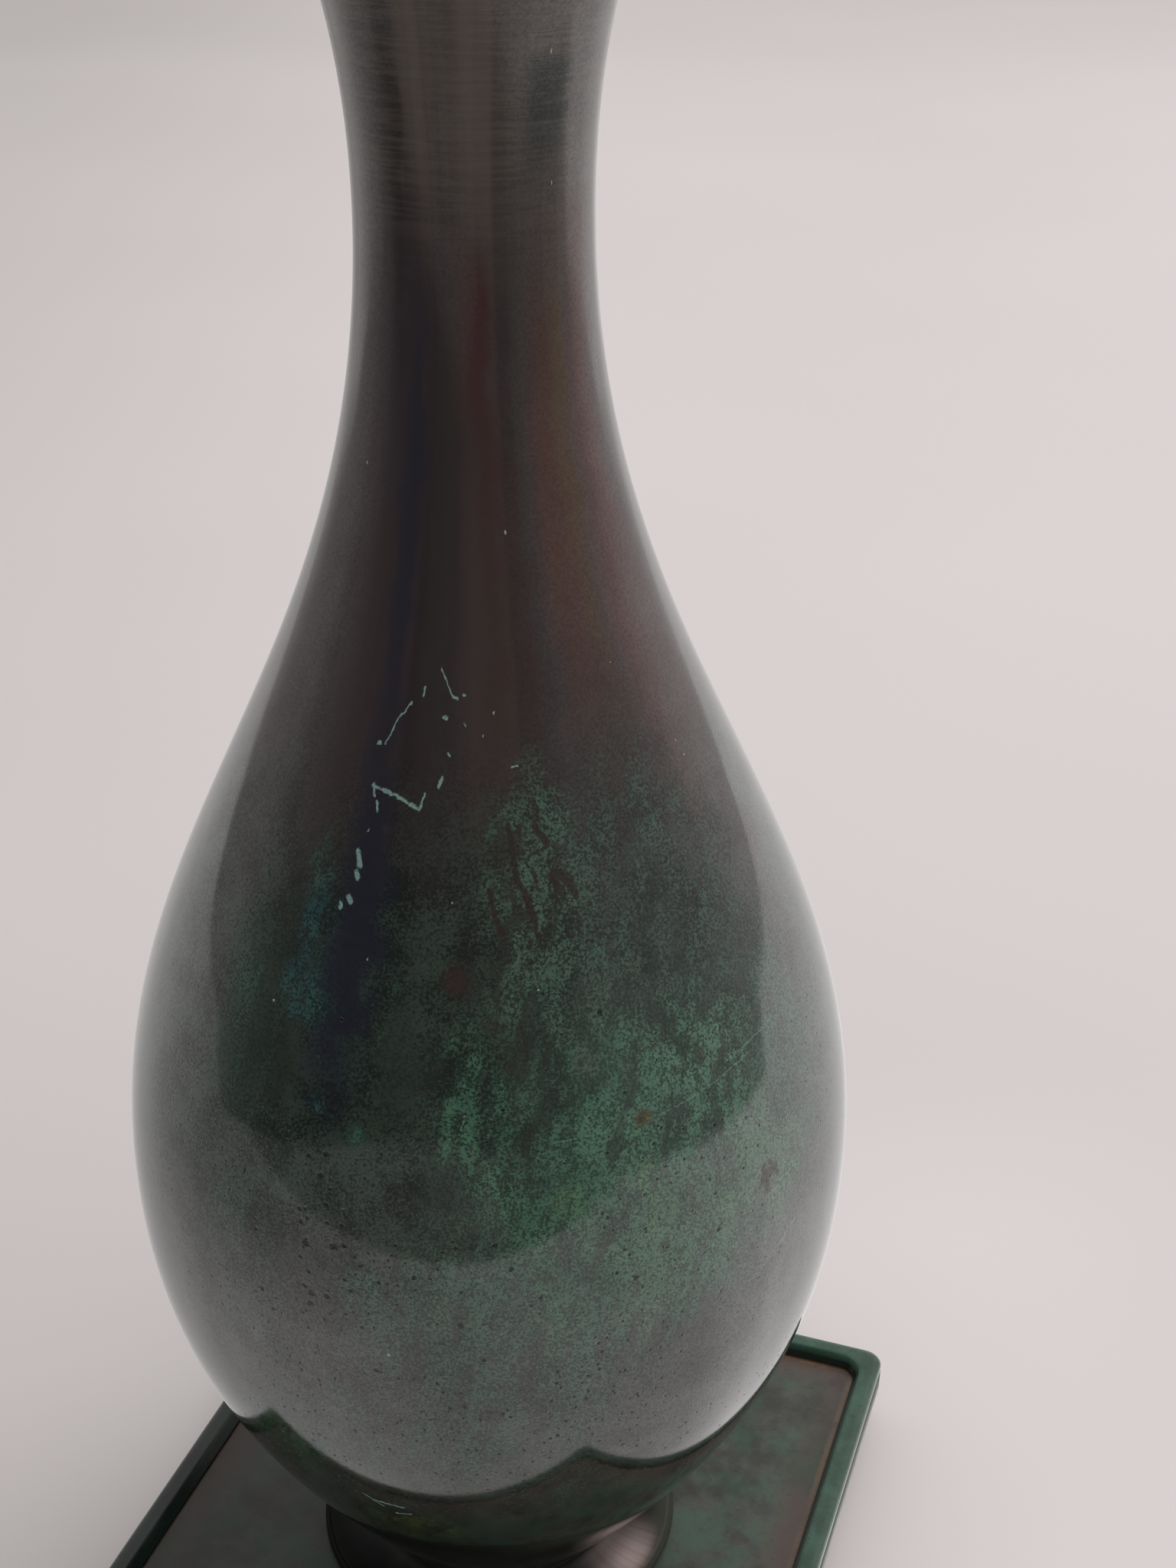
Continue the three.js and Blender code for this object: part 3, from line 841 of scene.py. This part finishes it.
def tray_rim_patina_and_painted_light():
    """Dark green, painted lighter on the lit right side and darker on the left, with painted shade on the
    walls, a painted highlight along the back, and a lighter worn outer edge whose colour is painted
    brighter on the right.
    """
    graph = surface("tray_rim_patina_and_painted_light")
    place, reach, right, back = tray_place(graph)
    level = graph.parts(place)[2]
    # Lit and dim copies of the patina: painted light on the right, painted shade on the left.
    lit_side = graph.step(right, -24, 26)
    cloud = graph.noise(place, 7, 4, 0.6)
    fine = graph.noise(place, 0.8, 3, 0.65)
    lit = graph.clouds(cloud, 0.36, 0.64, tone(44, 72, 59), tone(64, 98, 82))
    dim = graph.clouds(cloud, 0.36, 0.64, tone(24, 31, 28), tone(33, 42, 38))
    colour = graph.mix(lit_side, dim, lit)
    # Darker under the upper face: painted shade on the rim's walls.
    colour = graph.clouds(level, 9.5, 9.0, colour, tone(26, 37, 32))
    # A painted highlight along the back of the rim's upper face.
    back_painted_highlight = graph.times(graph.step(back, 24, 40), graph.step(level, 9.2, 9.8))
    colour = graph.cover(colour, tone(128, 140, 140), back_painted_highlight, 0.6)
    # Worn outer edge; its colour is painted brighter on the lit right and darker on the left.
    worn = graph.times(
        graph.step(reach, 38.6, 39.7),
        graph.step(level, 8.0, 9.3),
        graph.step(cloud, 0.3, 0.6, 0.4, 0.8),
    )
    colour = graph.mix(worn, colour, graph.mix(lit_side, tone(54, 62, 57), tone(76, 96, 86)))
    colour = graph.mix(graph.step(fine, 0.56, 0.72, 0.0, 0.35), colour, tone(22, 28, 26))
    return finished(graph, colour, graph.step(cloud, 0.3, 0.7, 0.2, 0.32), fine, GRAIN_DEPTH, IOR=TRAY_IOR)


def metal(name, dark, light, roughness):
    graph = surface(name)
    place = object_place(graph)
    turning = graph.noise(graph.vector("MULTIPLY", place, (0.3, 0.3, 8)), 0.6, 3)
    cloud = graph.noise(place, 2.5, 4, 0.6)
    colour = graph.clouds(cloud, 0.35, 0.65, dark, light)
    uneven = graph.step(turning, 0.3, 0.7, roughness, roughness + 0.2)
    return finished(graph, colour, uneven, turning, GRAIN_DEPTH, Metallic=1.0)


def felt():
    graph = surface("felt")
    place = object_place(graph)
    fibres = graph.noise(place, 0.35, 6, 0.75, 1.5)
    cloud = graph.noise(place, 1.6, 2)
    colour = graph.clouds(fibres, 0.35, 0.65, tone(26, 28, 27), tone(58, 60, 58))
    colour = graph.cover(colour, tone(44, 47, 45), cloud, 0.4)
    return finished(graph, colour, 0.95, fibres, 0.0003, Sheen_Weight=0.4, Sheen_Roughness=0.4)


# Pieces

VASE_SIDES = 224
SMALL_SIDES = 96
LIP_STEPS = 14
FILING_DEPTH = 0.04 * MM
FILING_SIZE = 14 * MM
HOLD = 0.3 * MM  # how far from an edge a row of points keeps the flat beside it flat
PLATE_EDGE = 0.35 * MM
PLATE_EDGE_STEPS = 4
PAD_EDGE = 0.7 * MM


def vase_outline():
    """The vase's closed outline, up the outside and down the inside, and where the inside starts."""
    waist = (WAIST_RADIUS, VASE_LOW.z)
    underside = (
        WAIST_RADIUS + UNDERSIDE_REACH * math.cos(UNDERSIDE_ANGLE),
        VASE_LOW.z + UNDERSIDE_REACH * math.sin(UNDERSIDE_ANGLE),
    )
    below_belly = (BELLY_RADIUS, BELLY_LEVEL - BELLY_DROP)
    belly = (BELLY_RADIUS, BELLY_LEVEL)
    above_belly = (BELLY_RADIUS, BELLY_LEVEL + BELLY_RISE)
    below_neck = (NECK_RADIUS, NECK_LEVEL - NECK_RUN)
    neck = (NECK_RADIUS, NECK_LEVEL)
    above_neck = (NECK_RADIUS, NECK_LEVEL + FLARE_RUN)
    flare = (LIP_RADIUS - LIP_SPREAD, LIP_LEVEL - LIP_REACH)
    lip = (LIP_RADIUS, LIP_LEVEL)
    curves = (
        smooth_bezier(waist, underside, below_belly, belly, 90),
        smooth_bezier(belly, above_belly, below_neck, neck, 130),
        smooth_bezier(neck, above_neck, flare, lip, 50),
    )
    walked = [curves[0][0]] + [p for curve in curves for p in curve[1:]]
    outside = [p for p, along in walked]
    inside = [p + Vector((-along.y, along.x)) * WALL for p, along in walked]
    middle = (outside[-1] + inside[-1]) / 2
    from_middle = outside[-1] - middle
    spins = [Matrix.Rotation(math.pi * step / LIP_STEPS, 2) for step in range(1, LIP_STEPS)]
    lip_arc = [middle + spin @ from_middle for spin in spins]
    inner_wall = [p for p in inside if p.y > INNER_FLOOR + SEAM_GAP][::-1]
    seat = rounded_outline(
        [
            (*inner_wall[-1], 0),
            (BORE_RADIUS, INNER_FLOOR, 0.2 * MM),
            (BORE_RADIUS, VASE_LOW.z, 0.2 * MM),
            (*waist, 0),
        ],
        closed=False,
    )[1:-1]
    outline = outside + lip_arc + inner_wall + seat
    return outline, len(outside) + LIP_STEPS * 2 // 3


def add_vase(inner_surface):
    outline, inner_start = vase_outline()
    vertices, faces = revolved(outline, VASE_SIDES)
    vertices = hand_finished(vertices, FILING_DEPTH, FILING_SIZE)
    ranges = list(zip(PATINA_LEVELS, PATINA_LEVELS[1:]))
    materials = [vase_patina(low, high) for low, high in ranges] + [inner_surface]
    indices = []
    for span, (here, there) in enumerate(zip(outline, outline[1:] + outline[:1])):
        level = (here[1] + there[1]) / 2 / MM
        inside = span >= inner_start
        index = len(ranges) if inside else sum(level > high for low, high in ranges)
        indices += [index] * VASE_SIDES
    add_piece("vase_casting", vertices, faces, materials, ["vase_shell"], indices)


def add_foot():
    edge_top = FOOT_LOW.z + FOOT_EDGE
    rounding = FOOT_EDGE * 0.45
    steps = 24
    start = Vector((FOOT_HIGH.x - rounding, edge_top))
    middle = Vector((WAIST_RADIUS, edge_top))
    end = Vector((WAIST_RADIUS, FOOT_HIGH.z))
    cove = []
    for step in range(steps + 1):
        t = step / steps
        cove.append(start * (1 - t) ** 2 + middle * 2 * t * (1 - t) + end * t * t)
    base = rounded_outline(
        [
            (STUD_HOLE_RADIUS, FOOT_HIGH.z, 0.1 * MM),
            (STUD_HOLE_RADIUS, FOOT_LOW.z, 0.1 * MM),
            (FOOT_HIGH.x, FOOT_LOW.z, 0.15 * MM),
            (FOOT_HIGH.x, edge_top, rounding * 0.9),
            (*start, 0),
        ],
        closed=False,
    )
    outline = base[:-1] + cove
    vertices, faces = revolved(outline, VASE_SIDES)
    add_piece("foot_turning", vertices, faces, [foot_patina_and_painted_light()], ["round_foot"])


def add_tray():
    half = PLATE_HIGH.x
    outer = square_loop(half, TRAY_CORNER, 0)
    bore_top = PLATE_LOW.z + COUNTERBORE_DEPTH
    rounds = (
        (STUD_HOLE_RADIUS + HOLD, PLATE_HIGH.z),
        (STUD_HOLE_RADIUS, PLATE_HIGH.z),
        (STUD_HOLE_RADIUS, bore_top),
        (COUNTERBORE_RADIUS, bore_top),
        (COUNTERBORE_RADIUS, PLATE_LOW.z),
        (COUNTERBORE_RADIUS + HOLD, PLATE_LOW.z),
    )
    squares = [(PLATE_EDGE + HOLD, PLATE_LOW.z)]
    for step in range(PLATE_EDGE_STEPS + 1):
        turn = math.pi / 2 * step / PLATE_EDGE_STEPS
        inset = PLATE_EDGE * (1 - math.sin(turn))
        squares.append((inset, PLATE_LOW.z + PLATE_EDGE * (1 - math.cos(turn))))
    squares += [(0, PLATE_HIGH.z), (HOLD, PLATE_HIGH.z)]
    loops = [round_loop(radius, height, outer) for radius, height in rounds]
    loops += [square_loop(half - inset, TRAY_CORNER - inset, height) for inset, height in squares]
    vertices, faces = lofted(loops)
    add_piece("tray_floor_plate", vertices, faces, [tray_floor_patina_and_painted_shade()], ["tray_plate"])

    section = rounded_outline(
        [
            (0, RIM_LOW.z, 0.1 * MM),
            (0, RIM_HIGH.z, 0.8 * MM),
            (RIM_TOP_WIDTH, RIM_HIGH.z, 0.55 * MM),
            (RIM_TOP_WIDTH + RIM_SLOPE, RIM_LOW.z, 0.1 * MM),
        ]
    )
    inner_corner = RIM_INNER_CORNER + RIM_SLOPE
    loops = []
    for inset, height in section:
        share = min(1, max(0, inset / RIM_TOP_WIDTH))
        outside_corner = TRAY_CORNER - inset
        inside_corner = inner_corner - (inset - RIM_TOP_WIDTH)
        corner = outside_corner * (1 - share) + inside_corner * share
        loops.append(square_loop(half - inset, corner, height))
    vertices, faces = lofted(loops)
    add_piece("tray_bar_frame", vertices, faces, [tray_rim_patina_and_painted_light()], ["tray_rim"])


def add_pads():
    material = felt()
    for place in PAD_NAMES:
        node = "felt_pad_" + place
        low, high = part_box(node)
        centre = (low + high) / 2
        radius = (high.x - low.x) / 2
        corners = [(0, low.z, 0), (radius, low.z, PAD_EDGE), (radius, high.z, PAD_EDGE), (0, high.z, 0)]
        outline = rounded_outline(corners, closed=False)
        vertices, faces = revolved(outline, SMALL_SIDES, (centre.x, centre.y))
        add_piece("pad_disc_" + place, vertices, faces, [material], [node])


def dress_fixings(inner_surface):
    brass = metal("brass", tone(140, 112, 62), tone(182, 152, 92), 0.28)
    steel = metal("zinc_steel", tone(120, 122, 124), tone(168, 170, 172), 0.3)
    for node, material in (
        ("fixing_stud", brass),
        ("hex_nut", brass),
        ("plain_washer", brass),
        ("spring_washer", steel),
        ("bottom_plate", inner_surface),
    ):
        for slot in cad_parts[node].material_slots:
            slot.link = "OBJECT"
            slot.material = material


# Floor, light and surroundings. Places on the table are in millimetres, x to the camera's right
# and y away from it.

PALE = tone(218, 212, 212)
TABLE_FOLD = 1150  # where the backdrop turns up
# How bright the gloss shows the table near the tray and far from it, by the angle round the vase
NEAR_REACH = 80
FAR_REACH = 210
NEAR_GLOW = (
    (-180, 0.6), (-140, 0.6), (-100, 0.57), (-86, 0.52), (-69, 0.53), (-46, 0.51), (-12, 0.38),
    (18, 0.47), (57, 0.62), (70, 0.85), (85, 1.1), (100, 0.98), (120, 0.95), (150, 0.9),
    (180, 0.6),
)
FAR_GLOW = (
    (-180, 0.6), (-156, 0.62), (-141, 0.7), (-122, 0.6), (-110, 0.47), (-90, 0.28), (-70, 0.22),
    (-50, 0.27), (-11, 0.38), (30, 0.4), (50, 0.52), (75, 0.8), (95, 0.88), (109, 0.92),
    (130, 0.98), (150, 0.92), (180, 0.6),
)
# Glow of the table in front of the tray, low as a painted shadow.
FRONT_SHADOW_GLOW = 0.13
# Edges of the table that the gloss shows
TABLE_FRONT = -230
TABLE_LEFT = -360
TABLE_RIGHT = 402
TABLE_BACK = 590
TABLE_SIDES = 800


def grey(value):
    return (value, value * 0.975, value * 0.97, 1)


def round_ramp(graph, turn, listed):
    """A grey for each angle in radians, from (degrees, brightness) stops."""
    share = graph.plus(graph.math("DIVIDE", turn, 2 * math.pi), 0.5)
    return graph.ramp(share, [(angle / 360 + 0.5, grey(value)) for angle, value in listed])


def table_seen(graph, x, y):
    """Colour of the table for the camera, with painted shade darker to the left and beyond where the
    backdrop turns up, a painted shadow at the tray's front left corner and a painted pool of light beside
    the tray's right side.
    """
    cloud = graph.noise(graph.joined(x, y, 0), 300, 2)
    colour = graph.clouds(cloud, 0.3, 0.7, tone(217, 211, 211), tone(220, 214, 214))
    # Painted shade, darker to the left.
    left = graph.step(x, 40, -320, 1.0, 0.83)
    painted_fold_shade = graph.step(y, TABLE_FOLD - 60, TABLE_FOLD + 120, 1.0, 0.96)
    # A painted shadow by the tray's front left corner and a painted pool of light beside its right side.
    corner = graph.times(graph.step(x, 0, -120), graph.step(y, 160, -40))
    beside = graph.times(graph.step(x, 20, 50), graph.step(x, 140, 60), graph.step(y, 110, 50))
    painted_light_and_shadow = graph.minus(graph.times(beside, 0.12), graph.times(corner, 0.12))
    share = graph.times(left, painted_fold_shade, graph.plus(painted_light_and_shadow, 1))
    return graph.vector("MULTIPLY", colour, graph.joined(share, share, share))


def table_mirrored(graph, x, y):
    """Glow of the table for the gloss, painted light in place of its lit colour, and 1 where the table ends
    and the surroundings show.
    """
    turn = graph.turn(x, y)
    away = graph.vector("LENGTH", graph.joined(x, y, 0))
    near = round_ramp(graph, turn, NEAR_GLOW)
    glow = graph.clouds(away, NEAR_REACH, FAR_REACH, near, round_ramp(graph, turn, FAR_GLOW))
    right_part = graph.times(graph.math("MAXIMUM", x, 0), -0.5)
    left_part = graph.times(graph.math("MINIMUM", x, 0), -0.3)
    front = graph.plus(right_part, TABLE_FRONT, left_part)
    beyond = graph.math("LESS_THAN", y, front)
    colour = graph.mix(beyond, glow, grey(FRONT_SHADOW_GLOW))
    near_edge = graph.times(graph.minus(x, TABLE_RIGHT), 3.4)
    far_edge = graph.minus(graph.times(x, 0.25), 110)
    right = graph.math("LESS_THAN", y, graph.math("MINIMUM", near_edge, far_edge))
    back = graph.math("GREATER_THAN", y, TABLE_BACK)
    wide = graph.math("GREATER_THAN", graph.math("ABSOLUTE", x), TABLE_SIDES)
    side = graph.plus(graph.times(graph.math("MINIMUM", y, 0), 0.3), TABLE_LEFT)
    slanted = graph.minus(graph.times(x, -0.27), 138)
    left = graph.times(graph.math("LESS_THAN", x, side), graph.math("LESS_THAN", y, slanted))
    open_front = graph.times(beyond, graph.math("GREATER_THAN", x, 20))
    ends = graph.most(left, right, open_front)
    return colour, graph.most(ends, graph.most(back, wide))


def add_floor():
    graph = surface("table_top")
    place = graph.turned(graph.node("NewGeometry").outputs["Position"], -FRONT_TURN)
    scaled = graph.vector("MULTIPLY", place, (1 / MM, 1 / MM, 0))
    x, y, _ = graph.parts(scaled)
    mirrored = graph.node("LightPath").outputs["Is Glossy Ray"]
    glow, ends = table_mirrored(graph, x, y)
    inputs = {"Base Color": table_seen(graph, x, y), "Roughness": 0.6, "Specular IOR Level": 0.2}
    plain = graph.node("BsdfPrincipled", inputs).outputs[0]
    glowing = graph.node("Emission", {"Color": glow}).outputs[0]
    clear = graph.node("BsdfTransparent").outputs[0]
    in_gloss = graph.node("MixShader", {0: ends, 1: glowing, 2: clear}).outputs[0]
    both = graph.node("MixShader", {0: mirrored, 1: plain, 2: in_gloss}).outputs[0]
    graph.node("OutputMaterial", {"Surface": both})
    reach = 6
    mesh = bpy.data.meshes.new("table")
    corners = [(-reach, -reach, 0), (reach, -reach, 0), (reach, reach, 0), (-reach, reach, 0)]
    mesh.from_pydata(corners, [], [(0, 1, 2, 3)])
    mesh.materials.append(graph.material)
    floor = bpy.data.objects.new("table", mesh)
    bpy.context.collection.objects.link(floor)


# What the gloss shows above the table: angle round the vase and brightness
ROUND = (
    (-180, 0.6), (-160, 0.6), (-138, 0.42), (-130, 0.32), (-125, 0.28), (-116, 0.27), (-104, 0.25),
    (-96, 0.19), (-90, 0.14), (-82, 0.09), (-70, 0.05), (-50, 0.02), (-36, 0.03), (-14, 0.06),
    (4, 0.06), (18, 0.08), (28, 0.1), (36, 0.15), (46, 0.18), (56, 0.18), (68, 0.21),
    (80, 0.26), (92, 0.32), (103, 0.46), (113, 0.56), (120, 0.57), (128, 0.58), (140, 0.74),
    (160, 0.95), (180, 0.6),
)
OVERHEAD = 0.6
FILL_LEFT = 0.66
FILL_RIGHT = 0.94
LAMP_PLACE = (0.9, 0.5, 1.3)  # metres, to the camera's right, away from it and up
LAMP_SIZE = 0.9
LAMP_POWER = 6.0


def add_world():
    world = bpy.data.worlds.new("studio")
    bpy.context.scene.world = world
    world.use_nodes = True
    graph = Graph(world.node_tree)
    way = graph.turned(graph.node("TexCoord").outputs["Generated"], -FRONT_TURN)
    x, y, z = graph.parts(way)
    around = round_ramp(graph, graph.turn(x, y), ROUND)
    rise = graph.times(graph.math("ARCSINE", z), 180 / math.pi)
    seen = graph.clouds(rise, 32, 60, around, grey(OVERHEAD))
    fill = graph.clouds(x, -1, 1, grey(FILL_LEFT), grey(FILL_RIGHT))
    light = graph.node("LightPath").outputs
    plain = graph.mix(light["Is Glossy Ray"], fill, seen)
    shown = graph.mix(light["Is Camera Ray"], plain, PALE)
    back = graph.node("Background", {"Color": shown})
    graph.node("OutputWorld", {"Surface": back.outputs[0]})


def add_lamp():
    data = bpy.data.lights.new("key", "AREA")
    data.shape = "DISK"
    data.size = LAMP_SIZE
    data.energy = LAMP_POWER
    lamp = bpy.data.objects.new("key", data)
    lamp.visible_glossy = False
    lamp.location = Matrix.Rotation(FRONT_TURN, 3, "Z") @ Vector(LAMP_PLACE)
    lamp.rotation_euler = (-lamp.location).to_track_quat("-Z", "Y").to_euler()
    bpy.context.collection.objects.link(lamp)


add_camera()
add_floor()
add_world()
add_lamp()
inner_surface = inner_bronze()
add_vase(inner_surface)
add_foot()
add_tray()
add_pads()
dress_fixings(inner_surface)

bpy.context.scene.view_settings.view_transform = "Standard"
